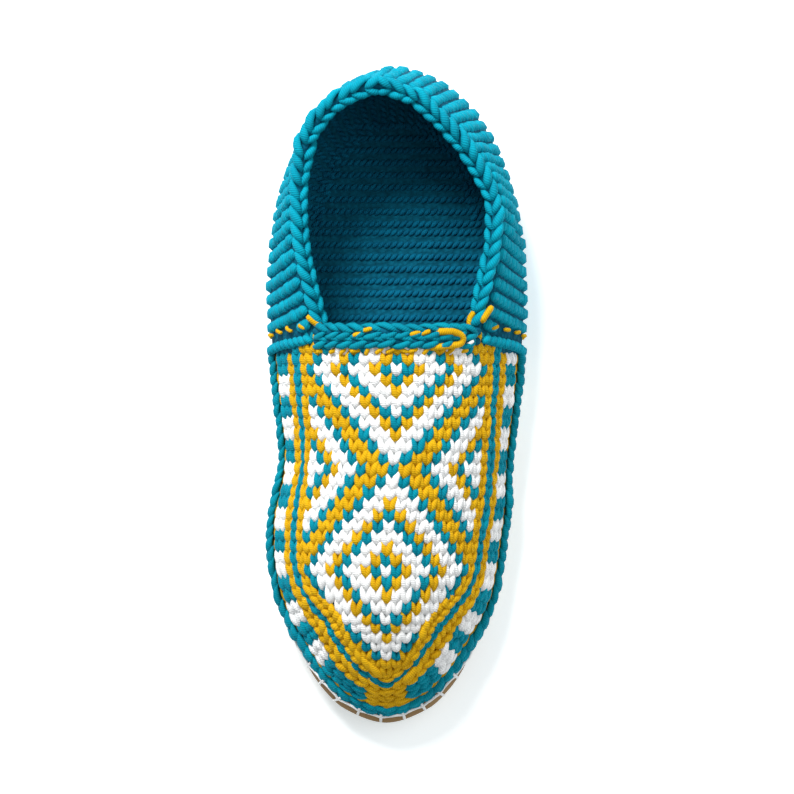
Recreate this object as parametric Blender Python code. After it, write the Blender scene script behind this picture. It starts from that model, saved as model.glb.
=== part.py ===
"""Knitted house slipper with suede patches sewn under it.

Blender 4.5, metres, +Z up. The toe points to -Y and the heel to +Y, and the slipper stands on z = 0.
The knitting is one hollow body, open at the collar. All of its sections come from skin(), the outer
face of the knitting, and every other curved piece is cut from the same function with a lift.

skin() lays ribs from a spine along the middle of the foot out to the side line, the widest curve of
the slipper. Along the foot the ribs are straight across, and round the toe and the heel they fan out
from the ends of the spine. On each rib, level runs from -1 at the middle of the sole to 0 at the side
line, 1 at the height of the collar, and 2 at the top of the toe tube.
"""

import math
from collections import namedtuple

import bmesh
import bpy
from mathutils import Vector

MM = 0.001

# Driving dimensions, in millimetres.
LENGTH = 245.0
BALL_WIDTH = 88.5
INSTEP_HEIGHT = 54.5
HEEL_HEIGHT = 52.0

# The knitting and what is sewn to it.
TUBE_WALL = 3.0
CUFF_STEP = 1.4
SUEDE = 1.3
GAP = 0.3
SOLE_HEIGHT = SUEDE + GAP
WAIST_RISE = 1.6

# Places along the foot, as y from the middle of the length.
THROAT = 24.5
CUFF_FRONT = 15.4
CUFF_FULL = 16.6
TOE_SPINE_END = -64.0
HEEL_SPINE_END = 66.0

# The middle of the foot bends a little to one side in front of the instep.
TOE_BEND = -4.0
TOE_BEND_FROM, TOE_BEND_TO = -15.0, -62.0
HEEL_LEAN = -6.2
HEEL_LEAN_FROM, HEEL_LEAN_TO = 66.0, 114.0

# A section: the sole is flat out to this share of the half width, then turns up to the side line.
FLAT_SHARE = 0.72
CROWN_SOFTNESS = 0.3
FLAT_LEVEL = -0.35

# The side line seen from above. Stations are shares of the length from the heel to the toe, and half
# widths are shares of half the ball width.
OutlinePoint = namedtuple("OutlinePoint", "station half_width")
OUTLINE = [
    OutlinePoint(*row)
    for row in (
        (0.0057, 0.000),
        (0.0176, 0.256),
        (0.0363, 0.431),
        (0.0878, 0.700),
        (0.1567, 0.882),
        (0.2318, 0.996),
        (0.3429, 1.049),
        (0.4633, 1.013),
        (0.5939, 0.938),
        (0.6878, 0.969),
        (0.7804, 0.920),
        (0.8290, 0.836),
        (0.8747, 0.722),
        (0.9143, 0.622),
        (0.9441, 0.509),
        (0.9727, 0.338),
        (0.9935, 0.000),
    )
]

# Sections along the length: height of the side line as a share of the instep height, roundness of
# the flanks (2 is an ellipse, less is straighter), and where the collar level lies on the half width.
Section = namedtuple("Section", "station side_height roundness collar_share")
SECTIONS = [
    Section(*row)
    for row in (
        (0.0000, 0.345, 1.80, 0.895),
        (0.1800, 0.325, 1.75, 0.890),
        (0.2450, 0.310, 1.70, 0.845),
        (0.3100, 0.300, 1.55, 0.770),
        (0.4000, 0.285, 1.40, 0.660),
        (0.5800, 0.265, 1.40, 0.640),
        (0.7600, 0.240, 1.38, 0.640),
        (0.8750, 0.210, 1.30, 0.640),
        (1.0000, 0.180, 1.20, 0.640),
    )
]

# Height of the closed crown over the toe tube, as a share of the instep height.
CrownPoint = namedtuple("CrownPoint", "station height")
CROWN = [
    CrownPoint(*row)
    for row in (
        (0.4000, 1.000),
        (0.5800, 0.945),
        (0.7612, 0.872),
    )
]

EDGING_WIDTH, EDGING_HEIGHT = 5.0, 3.4
THROAT_BAND_FRONT, THROAT_BAND_BACK = 19.2, 26.0
THROAT_BAND_HEIGHT = 3.2
THROAT_BAND_END = 1.06
COLLAR_END = 27.0
RIDGE_FRONT, RIDGE_BACK = 16.9, 21.7
RIDGE_HEIGHT = 1.6
RIDGE_TOP_LEVEL = 0.93

FOREFOOT_PATCH_BACK = -10.0
HEEL_PATCH_FRONT = 44.0
PATCH_CORNER = 8.0
# Levels of the patches' edges: under the side line, and over it round the toe.
FOREFOOT_EDGE = -0.12
TOE_EDGE = 0.39
TOE_EDGE_FROM, TOE_EDGE_TO = -72.0, -108.0
HEEL_FRONT_EDGE = -0.25
HEEL_FRONT_END = 74.0
HEEL_EDGE = -0.16
HEEL_BACK_EDGE = -0.10

YARN = {"colour": (0.002, 0.290, 0.410, 1.0), "roughness": 0.85}
LEATHER = {"colour": (0.310, 0.185, 0.062, 1.0), "roughness": 0.80}


def blend(start, end, value):
    """0 at start, 1 at end, smooth between them."""
    share = min(max((value - start) / (end - start), 0.0), 1.0)
    return share * share * (3.0 - 2.0 * share)


def station_y(station):
    return (0.5 - station) * LENGTH


def table_value(table, column, y):
    """One column of a station table at y, by a smooth curve through its rows."""
    places = [station_y(row.station) for row in table]
    values = [getattr(row, column) for row in table]
    if places[0] > places[-1]:
        places, values = places[::-1], values[::-1]
    if y <= places[0]:
        return values[0]
    if y >= places[-1]:
        return values[-1]
    last = len(places) - 1
    left = max(i for i in range(last) if places[i] <= y)
    slopes = []
    for i in (left, left + 1):
        before, after = max(i - 1, 0), min(i + 1, last)
        slopes.append((values[after] - values[before]) / (places[after] - places[before]))
    span = places[left + 1] - places[left]
    t = (y - places[left]) / span
    return (
        values[left] * (2 * t**3 - 3 * t**2 + 1)
        + slopes[0] * span * (t**3 - 2 * t**2 + t)
        + values[left + 1] * (3 * t**2 - 2 * t**3)
        + slopes[1] * span * (t**3 - t**2)
    )


def outline_curve(steps=24):
    """The side line of one half, from the toe to the heel, as points (half width, y, distance)."""
    knots = [
        Vector((row.half_width * BALL_WIDTH / 2, station_y(row.station)))
        for row in reversed(OUTLINE)
    ]
    # The other half of the outline is a mirror image, which sets the direction at both ends.
    first = Vector((-knots[1].x, knots[1].y))
    last = Vector((-knots[-2].x, knots[-2].y))
    knots = [first, *knots, last]
    points = []
    for before, start, end, after in zip(knots, knots[1:], knots[2:], knots[3:]):
        chord = (end - start).length
        leave = (end - before) * (chord / ((start - before).length + chord))
        arrive = (after - start) * (chord / ((after - end).length + chord))
        for i in range(steps):
            t = i / steps
            points.append(
                start * (2 * t**3 - 3 * t**2 + 1)
                + leave * (t**3 - 2 * t**2 + t)
                + end * (3 * t**2 - 2 * t**3)
                + arrive * (t**3 - t**2)
            )
    points.append(knots[-2])
    curve = [(points[0].x, points[0].y, 0.0)]
    for point in points[1:]:
        step = (point - Vector(curve[-1][:2])).length
        curve.append((point.x, point.y, curve[-1][2] + step))
    return curve


OUTLINE_CURVE = outline_curve()
OUTLINE_LENGTH = OUTLINE_CURVE[-1][2]


def outline_at(distance):
    """(half width, y) of the side line at this distance from the toe."""
    for (x0, y0, d0), (x1, y1, d1) in zip(OUTLINE_CURVE, OUTLINE_CURVE[1:]):
        if distance <= d1:
            t = (distance - d0) / (d1 - d0)
            return x0 + (x1 - x0) * t, y0 + (y1 - y0) * t
    return OUTLINE_CURVE[-1][:2]


def distance_at(y):
    """Distance along the side line from the toe to this y."""
    for (_, y0, d0), (_, y1, d1) in zip(OUTLINE_CURVE, OUTLINE_CURVE[1:]):
        if y0 <= y <= y1:
            return d0 + (d1 - d0) * (y - y0) / (y1 - y0)
    return OUTLINE_LENGTH


def middle_x(y):
    return TOE_BEND * blend(TOE_BEND_FROM, TOE_BEND_TO, y)


def softened(share):
    """The half-width share with a rounded start, so that the crown has no crease along its middle."""
    whole = math.hypot(1.0, CROWN_SOFTNESS) - CROWN_SOFTNESS
    return (math.hypot(share, CROWN_SOFTNESS) - CROWN_SOFTNESS) / whole


def dome(share, roundness):
    """Height of the crown as a share, from 1 in the middle to 0 at the side line."""
    return max(1.0 - softened(share) ** roundness, 0.0) ** (1.0 / roundness)


def heel_crown(side):
    """Height that the heel's walls would close at, so that they reach the heel height at the collar."""
    back = SECTIONS[0]
    return side + (HEEL_HEIGHT - side) / dome(back.collar_share, back.roundness)


def crown_height(y, side):
    """Height of the crown over this place of the side line."""
    if y <= THROAT:
        return table_value(CROWN, "height", max(y, TOE_SPINE_END)) * INSTEP_HEIGHT
    share = (y - THROAT) / (LENGTH / 2 - THROAT)
    return INSTEP_HEIGHT + (heel_crown(side) - INSTEP_HEIGHT) * share


def skin(side, distance, level):
    """A point of the knitting's outer face, in millimetres. side is 1 for +X and -1 for -X."""
    half_width, y = outline_at(distance)
    spine_y = min(max(y, TOE_SPINE_END), HEEL_SPINE_END)
    edge = Vector((middle_x(y) + side * half_width, y))
    spine = Vector((middle_x(spine_y), spine_y))
    side_z = table_value(SECTIONS, "side_height", y) * INSTEP_HEIGHT
    if level <= 0.0:
        waist = blend(FOREFOOT_PATCH_BACK + 4.0, THROAT, y) * blend(HEEL_PATCH_FRONT, THROAT, y)
        sole_z = SOLE_HEIGHT + WAIST_RISE * waist
        if level <= FLAT_LEVEL:
            share = FLAT_SHARE * (level + 1.0) / (FLAT_LEVEL + 1.0)
            z = sole_z
        else:
            turn = (level - FLAT_LEVEL) / -FLAT_LEVEL * math.pi / 2
            share = FLAT_SHARE + (1.0 - FLAT_SHARE) * math.sin(turn)
            z = side_z - (side_z - sole_z) * math.cos(turn)
        place = spine + (edge - spine) * share
        return Vector((place.x, place.y, z))
    collar = table_value(SECTIONS, "collar_share", y)
    roundness = table_value(SECTIONS, "roundness", y)
    share = 1.0 - (1.0 - collar) * level**2 if level <= 1.0 else collar * (2.0 - level)
    z = side_z + (crown_height(y, side_z) - side_z) * dome(share, roundness)
    place = spine + (edge - spine) * share
    lean = HEEL_LEAN * blend(HEEL_LEAN_FROM, HEEL_LEAN_TO, y) * min(level, 1.0) ** 2
    return Vector((place.x + lean, place.y, z))


def normal(side, distance, level):
    """Outward direction of the knitting at this point."""
    if level <= FLAT_LEVEL:
        return Vector((0.0, 0.0, -1.0))
    if level >= 1.999:
        return Vector((0.0, 0.0, 1.0))
    near, far = max(distance - 0.8, 0.0), min(distance + 0.8, OUTLINE_LENGTH)
    low, high = max(level - 0.03, -1.0), min(level + 0.03, 2.0)
    along = skin(side, far, level) - skin(side, near, level)
    if near <= 0.0 or far >= OUTLINE_LENGTH:
        along = Vector((side if near <= 0.0 else -side, 0.0, 0.0))
    up = skin(side, distance, high) - skin(side, distance, low)
    return side * along.cross(up).normalized()


def cuff_lift(distance, level):
    """How far the garter heel part stands over the toe tube."""
    y = outline_at(distance)[1]
    behind = min(max((y - CUFF_FRONT) / (CUFF_FULL - CUFF_FRONT), 0.0), 1.0)
    return CUFF_STEP * behind * blend(FLAT_LEVEL, -0.05, level) * (level <= 1.0)


def lifted(side, distance, level, lift):
    return skin(side, distance, level) + normal(side, distance, level) * lift


def spaced(start, end, count):
    return [start + (end - start) * i / count for i in range(count + 1)]


def both_sides(distances):
    """(side, distance) all the way round, out along +X and back along -X, without doubled ends."""
    back = [d for d in reversed(distances) if 0.0 < d < OUTLINE_LENGTH]
    return [(1, d) for d in distances] + [(-1, d) for d in back]


def material(name, finish):
    made = bpy.data.materials.new(name)
    made.use_nodes = True
    shader = made.node_tree.nodes["Principled BSDF"]
    shader.inputs["Base Color"].default_value = finish["colour"]
    shader.inputs["Roughness"].default_value = finish["roughness"]
    shader.inputs["Metallic"].default_value = 0.0
    return made


def add_object(name, mesh_points, finish):
    """mesh_points is a bmesh in millimetres; it becomes an object in metres."""
    bmesh.ops.recalc_face_normals(mesh_points, faces=mesh_points.faces)
    if mesh_points.calc_volume(signed=True) < 0.0:
        bmesh.ops.reverse_faces(mesh_points, faces=mesh_points.faces)
    bmesh.ops.scale(mesh_points, vec=(MM, MM, MM), verts=mesh_points.verts)
    mesh = bpy.data.meshes.new(name)
    mesh_points.to_mesh(mesh)
    mesh_points.free()
    mesh.shade_smooth()
    made = bpy.data.objects.new(name, mesh)
    made.data.materials.append(finish)
    bpy.context.scene.collection.objects.link(made)
    return made


def add_skin_face(points, corners):
    """One quad or triangle; corners that share a vertex are dropped."""
    corners = list(dict.fromkeys(corners))
    if len(corners) > 2:
        points.faces.new(corners)


def grid_solid(columns, closed=False):
    """A bmesh between an outer and an inner grid that share their open edges.

    columns is a list of columns, each a list of (outer point, inner point). Neighbouring columns
    may differ in length, where the collar opens. Points that coincide become one vertex.
    """
    points = bmesh.new()
    found = {}

    def vertex(place, layer):
        key = (layer, *(round(value, 4) for value in place))
        if key not in found:
            found[key] = points.verts.new(place)
        return found[key]

    grids = [[[vertex(pair[layer], layer) for pair in column] for column in columns] for layer in (0, 1)]
    order = range(len(columns) if closed else len(columns) - 1)
    for grid in grids:
        for i in order:
            here, there = grid[i], grid[(i + 1) % len(columns)]
            for j in range(min(len(here), len(there)) - 1):
                add_skin_face(points, (here[j], here[j + 1], there[j + 1], there[j]))
    partner = dict(
        pair
        for outer, inner in zip(*grids)
        for pair in zip(outer, inner)
    )
    outer_rim = [edge for edge in points.edges if edge.is_boundary and edge.verts[0] in partner]
    for edge in outer_rim:
        a, b = edge.verts
        points.faces.new((a, b, partner[b], partner[a]))
    return points


def rib_distances():
    """Where the ribs lie along the side line, from the toe to the heel. All pieces share them."""
    toe = spaced(0.0, distance_at(TOE_SPINE_END), 13)
    tube = spaced(distance_at(TOE_SPINE_END), distance_at(CUFF_FRONT), 8)
    cuff = [distance_at(CUFF_FULL), distance_at(THROAT)]
    collar = spaced(distance_at(THROAT), distance_at(HEEL_SPINE_END), 5)
    heel = spaced(distance_at(HEEL_SPINE_END), OUTLINE_LENGTH, 13)
    return [*toe, *tube[1:], *cuff, *collar[1:], *heel[1:]]


SOLE_LEVELS = [-1.0, -0.78, -0.56, FLAT_LEVEL, *spaced(FLAT_LEVEL, 0.0, 5)[1:]]
WALL_LEVELS = spaced(0.0, 1.0, 6)[1:]
CROWN_LEVELS = [1.04, *spaced(1.0, 2.0, 6)[1:]]


def upper_columns():
    """The knitting's outer and inner faces, rib by rib, all the way round."""
    throat = distance_at(THROAT)
    columns = []
    for side, distance in both_sides(rib_distances()):
        crown = CROWN_LEVELS if distance <= throat + 0.01 else []
        levels = SOLE_LEVELS + WALL_LEVELS + crown
        columns.append(
            [
                (
                    lifted(side, distance, level, cuff_lift(distance, level)),
                    lifted(side, distance, level, -TUBE_WALL),
                )
                for level in levels
            ]
        )
    return columns


def make_upper(finish):
    return add_object("upper", grid_solid(upper_columns(), closed=True), finish)


def patch_edge_forefoot(distance):
    """Level of the forefoot patch's edge: low along the foot, up over the side line round the toe."""
    y = outline_at(distance)[1]
    return FOREFOOT_EDGE + (TOE_EDGE - FOREFOOT_EDGE) * blend(TOE_EDGE_FROM, TOE_EDGE_TO, y)


def patch_edge_heel(distance):
    y = outline_at(distance)[1]
    edge = HEEL_FRONT_EDGE + (HEEL_EDGE - HEEL_FRONT_EDGE) * blend(HEEL_PATCH_FRONT, HEEL_FRONT_END, y)
    return edge + (HEEL_BACK_EDGE - HEEL_EDGE) * blend(100.0, LENGTH / 2, y)


def corner_inset(gap_to_end):
    """How far a rounded corner pulls the side edge in, this far from the straight end."""
    if gap_to_end >= PATCH_CORNER:
        return 0.0
    rest = PATCH_CORNER - gap_to_end
    return PATCH_CORNER - math.sqrt(max(PATCH_CORNER**2 - rest**2, 0.0))


def level_length(side, distance, low, high, count=24):
    levels = spaced(low, high, count)
    points = [skin(side, distance, level) for level in levels]
    return sum((b - a).length for a, b in zip(points, points[1:]))


def patch_columns(distances, end_y, edge_level):
    """A suede patch under the knitting, from its straight end round the toe or the heel."""
    columns = []
    for side, distance in distances:
        y = outline_at(distance)[1]
        edge = edge_level(distance)
        inset = corner_inset(abs(y - end_y))
        if inset > 0.0:
            edge -= (edge + 1.0) * inset / level_length(side, distance, -1.0, edge)
        inside = [level for level in SOLE_LEVELS + WALL_LEVELS if level < TOE_EDGE]
        levels = [level if level < edge - 0.01 else edge for level in inside] + [edge]
        columns.append(
            [
                tuple(
                    lifted(side, distance, level, cuff_lift(distance, level) + lift)
                    for lift in (GAP + SUEDE, GAP)
                )
                for level in levels
            ]
        )
    return columns


def patch_distances(end, direction):
    """Ribs from the straight end, close together over its rounded corners."""
    corner = [0.0, 0.35, 1.2, 2.6, 4.6, PATCH_CORNER]
    near = [distance_at(end + direction * step) for step in corner]
    far = [d for d in rib_distances() if (d - near[-1]) * direction > 0.8]
    return near + (far if direction > 0 else far[::-1])


def make_forefoot_patch(finish):
    distances = patch_distances(FOREFOOT_PATCH_BACK, -1)
    round_toe = [(1, d) for d in distances] + [(-1, d) for d in reversed(distances[:-1])]
    columns = patch_columns(round_toe, FOREFOOT_PATCH_BACK, patch_edge_forefoot)
    return add_object("forefoot_patch", grid_solid(columns), finish)


def make_heel_patch(finish):
    distances = patch_distances(HEEL_PATCH_FRONT, 1)
    round_heel = [(1, d) for d in distances] + [(-1, d) for d in reversed(distances[:-1])]
    columns = patch_columns(round_heel, HEEL_PATCH_FRONT, patch_edge_heel)
    return add_object("heel_patch", grid_solid(columns), finish)


def ring_solid(rings):
    """A bmesh of one tube through rings of points, with flat ends."""
    points = bmesh.new()
    loops = [[points.verts.new(place) for place in ring] for ring in rings]
    for here, there in zip(loops, loops[1:]):
        for j in range(len(here)):
            k = (j + 1) % len(here)
            points.faces.new((here[j], here[k], there[k], there[j]))
    points.faces.new(loops[0])
    points.faces.new(loops[-1][::-1])
    return points


def oval(centre, across, up, width, height, sides=8):
    """An oval section; across and up are unit vectors."""
    ring = []
    for i in range(sides):
        angle = 2 * math.pi * (i + 0.5) / sides
        reach = 1.0 / math.cos(math.pi / sides)
        offset = across * (math.cos(angle) * width / 2) + up * (math.sin(angle) * height / 2)
        ring.append(centre + offset * reach * 0.96)
    return ring


def make_collar_edging(finish):
    """The chain on top of the heel part's wall, from one front corner round the heel to the other."""
    rings = []
    wall = TUBE_WALL + CUFF_STEP
    distances = spaced(distance_at(COLLAR_END), OUTLINE_LENGTH, 24)
    path = [(1, d) for d in distances] + [(-1, d) for d in reversed(distances[:-1])]
    for side, distance in path:
        across = normal(side, distance, 1.0)
        rise = (skin(side, distance, 1.0) - skin(side, distance, 0.9)).normalized()
        middle = lifted(side, distance, 1.0, wall / 2 - TUBE_WALL)
        centre = middle + rise * (GAP + EDGING_HEIGHT / 2)
        rings.append(oval(centre, across, rise, EDGING_WIDTH, EDGING_HEIGHT))
    return add_object("collar_edging", ring_solid(rings), finish)


def band_solid(path, front, back, low, high):
    """A flat band across the knitting: path of (side, level), between two places along the foot."""
    rings = []
    inset = min(0.8, (back - front) / 5)
    for side, level in path:
        corners = (
            (front, low),
            (back, low),
            (back, (low + high) / 2),
            (back - inset, high),
            (front + inset, high),
            (front, (low + high) / 2),
        )
        ring = []
        for y, lift in corners:
            distance = distance_at(y)
            ring.append(lifted(side, distance, level, cuff_lift(distance, level) + lift))
        rings.append(ring)
    return ring_solid(rings)


def make_throat_edging(finish):
    """The chain across the throat, laid over the end of the toe tube."""
    levels = spaced(THROAT_BAND_END, 2.0, 8)
    path = [(1, level) for level in levels] + [(-1, level) for level in reversed(levels[:-1])]
    band = band_solid(path, THROAT_BAND_FRONT, THROAT_BAND_BACK, GAP, GAP + THROAT_BAND_HEIGHT)
    return add_object("throat_edging", band, finish)


def make_join_ridge(finish):
    """The rolled ridge behind the cuff's front edge, down both sides and across under the foot."""
    levels = [
        *spaced(RIDGE_TOP_LEVEL, 0.0, 6),
        *spaced(0.0, FLAT_LEVEL, 5)[1:],
        -0.56,
        -0.78,
        -1.0,
    ]
    path = [(1, level) for level in levels] + [(-1, level) for level in reversed(levels[:-1])]
    band = band_solid(path, RIDGE_FRONT, RIDGE_BACK, GAP, GAP + RIDGE_HEIGHT)
    return add_object("join_ridge", band, finish)


def main():
    for old in list(bpy.data.objects):
        bpy.data.objects.remove(old, do_unlink=True)
    yarn = material("yarn", YARN)
    leather = material("suede", LEATHER)
    make_upper(yarn)
    make_join_ridge(yarn)
    make_collar_edging(yarn)
    make_throat_edging(yarn)
    make_forefoot_patch(leather)
    make_heel_patch(leather)


main()
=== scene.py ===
import itertools
import math
from collections import namedtuple

import bpy
import numpy as np
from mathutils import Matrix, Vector
from mathutils.bvhtree import BVHTree


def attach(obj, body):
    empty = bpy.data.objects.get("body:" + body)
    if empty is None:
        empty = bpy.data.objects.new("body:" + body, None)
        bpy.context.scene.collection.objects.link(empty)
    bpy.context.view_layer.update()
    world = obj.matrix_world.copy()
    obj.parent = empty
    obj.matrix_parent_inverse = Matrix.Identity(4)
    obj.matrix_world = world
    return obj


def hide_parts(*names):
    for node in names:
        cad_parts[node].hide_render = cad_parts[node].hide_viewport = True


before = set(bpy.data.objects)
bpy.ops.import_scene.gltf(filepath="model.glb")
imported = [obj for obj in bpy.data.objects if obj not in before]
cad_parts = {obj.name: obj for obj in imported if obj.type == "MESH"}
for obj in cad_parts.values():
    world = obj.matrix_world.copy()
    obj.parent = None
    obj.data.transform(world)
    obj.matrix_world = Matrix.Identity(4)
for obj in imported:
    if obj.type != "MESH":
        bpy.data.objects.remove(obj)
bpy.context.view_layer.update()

MM = 0.001
RANDOM = np.random.default_rng(7)


def table(columns, *rows):
    """A short table whose rows have named columns."""
    row_type = namedtuple("Row", columns)
    return [row_type(*row) for row in rows]


# ---- sizes, as in the CAD
LENGTH = 245.0
BALL_WIDTH = 88.5
INSTEP_HEIGHT = 54.5
HEEL_HEIGHT = 52.0
TUBE_WALL = 3.0
CUFF_STEP = 1.4
SUEDE = 1.3
GAP = 0.3
SOLE_HEIGHT = SUEDE + GAP
WAIST_RISE = 1.6
THROAT = 24.5
CUFF_FRONT, CUFF_FULL = 15.4, 16.6
TOE_SPINE_END, HEEL_SPINE_END = -64.0, 66.0
TOE_BEND = -4.0
TOE_BEND_FROM, TOE_BEND_TO = -15.0, -62.0
HEEL_LEAN = -6.2
HEEL_LEAN_FROM, HEEL_LEAN_TO = 66.0, 114.0
FLAT_SHARE = 0.72
CROWN_SOFTNESS = 0.3
FLAT_LEVEL = -0.35
FOREFOOT_PATCH_BACK, HEEL_PATCH_FRONT = -10.0, 44.0
PATCH_CORNER = 8.0
FOREFOOT_EDGE, TOE_EDGE = -0.12, 0.39
TOE_EDGE_FROM, TOE_EDGE_TO = -72.0, -108.0
HEEL_FRONT_EDGE, HEEL_FRONT_END = -0.25, 74.0
HEEL_EDGE, HEEL_BACK_EDGE, HEEL_BACK_FROM = -0.16, -0.1, 100.0

OUTLINE = table(
    "station half_width",
    *((0.0057, 0.0), (0.0176, 0.256), (0.0363, 0.431), (0.0878, 0.7), (0.1567, 0.882)),
    *((0.2318, 0.996), (0.3429, 1.049), (0.4633, 1.013), (0.5939, 0.938), (0.6878, 0.969)),
    *((0.7804, 0.92), (0.829, 0.836), (0.8747, 0.722), (0.9143, 0.622), (0.9441, 0.509)),
    *((0.9727, 0.338), (0.9935, 0.0)),
)
SECTIONS = table(
    "station side_height roundness collar_share",
    (0.0, 0.345, 1.8, 0.895),
    (0.18, 0.325, 1.75, 0.89),
    (0.245, 0.31, 1.7, 0.845),
    (0.31, 0.3, 1.55, 0.77),
    (0.4, 0.285, 1.4, 0.66),
    (0.58, 0.265, 1.4, 0.64),
    (0.76, 0.24, 1.38, 0.64),
    (0.875, 0.21, 1.3, 0.64),
    (1.0, 0.18, 1.2, 0.64),
)
CROWN = table("station height", (0.4, 1.0), (0.58, 0.945), (0.7612, 0.872))

# ---- sizes of the knitting
SIDE_COLUMN = 16
REPEAT = 18
FIRST_ROW, TOE_ROW = -3, 18.1
GARTER_PITCH, GARTER_INSIDE = 5.3, 4.6
GARTER_LEAN = 7.0
SOLE_RIDGE, WALL_RIDGE = 2.15, 2.35
THREAD_RADIUS = 0.55
BLANKET_PITCH, TICK = 8.3, 5.2


# ---- the skin of the slipper
def blend(start, end, value):
    """0 at start, 1 at end, smooth between them."""
    share = np.clip((value - start) / (end - start), 0.0, 1.0)
    return share * share * (3.0 - 2.0 * share)


def cubic(start, leave, end, arrive, t):
    """From start to end as t goes from 0 to 1, with these slopes at the ends."""
    return (
        start * (2 * t**3 - 3 * t**2 + 1)
        + leave * (t**3 - 2 * t**2 + t)
        + end * (3 * t**2 - 2 * t**3)
        + arrive * (t**3 - t**2)
    )


def path_lengths(paths):
    """Length along each path of (paths, steps, axes), at every step."""
    steps = np.linalg.norm(np.diff(paths, axis=1), axis=2)
    return np.concatenate([np.zeros((len(paths), 1)), np.cumsum(steps, axis=1)], axis=1)


def unit(vectors):
    return vectors / np.maximum(np.linalg.norm(vectors, axis=-1, keepdims=True), 1e-9)


def table_value(rows, column, y):
    """One column of a station table at y, by a smooth curve through its rows."""
    rows = sorted(((0.5 - row.station) * LENGTH, getattr(row, column)) for row in rows)
    places, values = (np.array(part) for part in zip(*rows))
    ends = np.diff(values) / np.diff(places)
    slopes = (values[2:] - values[:-2]) / (places[2:] - places[:-2])
    slopes = np.array([ends[0], *slopes, ends[-1]])
    i = np.clip(np.searchsorted(places, y, side="right") - 1, 0, len(places) - 2)
    span = places[i + 1] - places[i]
    share = np.clip((y - places[i]) / span, 0.0, 1.0)
    return cubic(values[i], slopes[i] * span, values[i + 1], slopes[i + 1] * span, share)


def outline_curve(steps=24):
    """The side line of one half, from the toe to the heel: distances, half widths and y."""
    scale = BALL_WIDTH / 2, LENGTH
    knots = np.array([(row.half_width, 0.5 - row.station) for row in OUTLINE]) * scale
    knots = np.concatenate([knots[-2:-1] * (-1, 1), knots[::-1], knots[1:2] * (-1, 1)])
    t = np.arange(steps)[:, None] / steps
    points = []
    for before, start, end, after in zip(knots, knots[1:], knots[2:], knots[3:]):
        chord = math.dist(start, end)
        leave = (end - before) * chord / (math.dist(before, start) + chord)
        arrive = (after - start) * chord / (math.dist(end, after) + chord)
        points.append(cubic(start, leave, end, arrive, t))
    points = np.concatenate([*points, knots[-2:-1]])
    return path_lengths(points[None])[0], *points.T


CURVE_DISTANCE, CURVE_HALF_WIDTH, CURVE_Y = outline_curve()
OUTLINE_LENGTH = CURVE_DISTANCE[-1]


def half_width_at(distance):
    """Half width at the side line, this far from the toe along it."""
    return np.interp(distance, CURVE_DISTANCE, CURVE_HALF_WIDTH)


def y_at(distance):
    return np.interp(distance, CURVE_DISTANCE, CURVE_Y)


def distance_at(y):
    return np.interp(y, CURVE_Y, CURVE_DISTANCE)


def middle_x(y):
    return TOE_BEND * blend(TOE_BEND_FROM, TOE_BEND_TO, y)


def dome(share, roundness):
    """Height of the crown as a share, from 1 in the middle to 0 at the side line."""
    soft = np.hypot(share, CROWN_SOFTNESS) - CROWN_SOFTNESS
    whole = math.hypot(1.0, CROWN_SOFTNESS) - CROWN_SOFTNESS
    return np.maximum(1.0 - (soft / whole) ** roundness, 0.0) ** (1.0 / roundness)


def crown_height(y, side_z):
    """Height of the crown over the side line. Behind the throat it is only a guide."""
    tube = table_value(CROWN, "height", np.maximum(y, TOE_SPINE_END)) * INSTEP_HEIGHT
    back = SECTIONS[0]
    heel = side_z + (HEEL_HEIGHT - side_z) / dome(back.collar_share, back.roundness)
    share = (y - THROAT) / (LENGTH / 2 - THROAT)
    return np.where(y <= THROAT, tube, INSTEP_HEIGHT + (heel - INSTEP_HEIGHT) * share)


def skin(side, distance, level):
    """Points of the knitting's outer face. side is 1 for +X and -1 for -X. level is -1 at the
    middle of the sole, 0 at the side line, 1 at the collar and 2 at the top of the toe tube."""
    y = y_at(distance)
    spine_y = np.clip(y, TOE_SPINE_END, HEEL_SPINE_END)
    edge_x, spine_x = middle_x(y) + side * half_width_at(distance), middle_x(spine_y)
    side_z = table_value(SECTIONS, "side_height", y) * INSTEP_HEIGHT
    waist = blend(FOREFOOT_PATCH_BACK + 4.0, THROAT, y) * blend(HEEL_PATCH_FRONT, THROAT, y)
    sole_z = SOLE_HEIGHT + WAIST_RISE * waist
    turn = np.clip((level - FLAT_LEVEL) / -FLAT_LEVEL, 0.0, 1.0) * math.pi / 2
    flat = np.clip((level + 1.0) / (FLAT_LEVEL + 1.0), 0.0, 1.0)
    low_share = FLAT_SHARE * flat + (1.0 - FLAT_SHARE) * np.sin(turn)
    low_z = side_z - (side_z - sole_z) * np.cos(turn)
    collar = table_value(SECTIONS, "collar_share", y)
    roundness = table_value(SECTIONS, "roundness", y)
    high_share = np.where(level <= 1.0, 1.0 - (1.0 - collar) * level**2, collar * (2.0 - level))
    high_z = side_z + (crown_height(y, side_z) - side_z) * dome(high_share, roundness)
    lean = HEEL_LEAN * blend(HEEL_LEAN_FROM, HEEL_LEAN_TO, y) * np.clip(level, 0.0, 1.0) ** 2
    low = level <= 0.0
    share = np.where(low, low_share, high_share)
    x = spine_x + (edge_x - spine_x) * share + lean
    return np.stack([x, spine_y + (y - spine_y) * share, np.where(low, low_z, high_z)], axis=-1)


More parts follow.
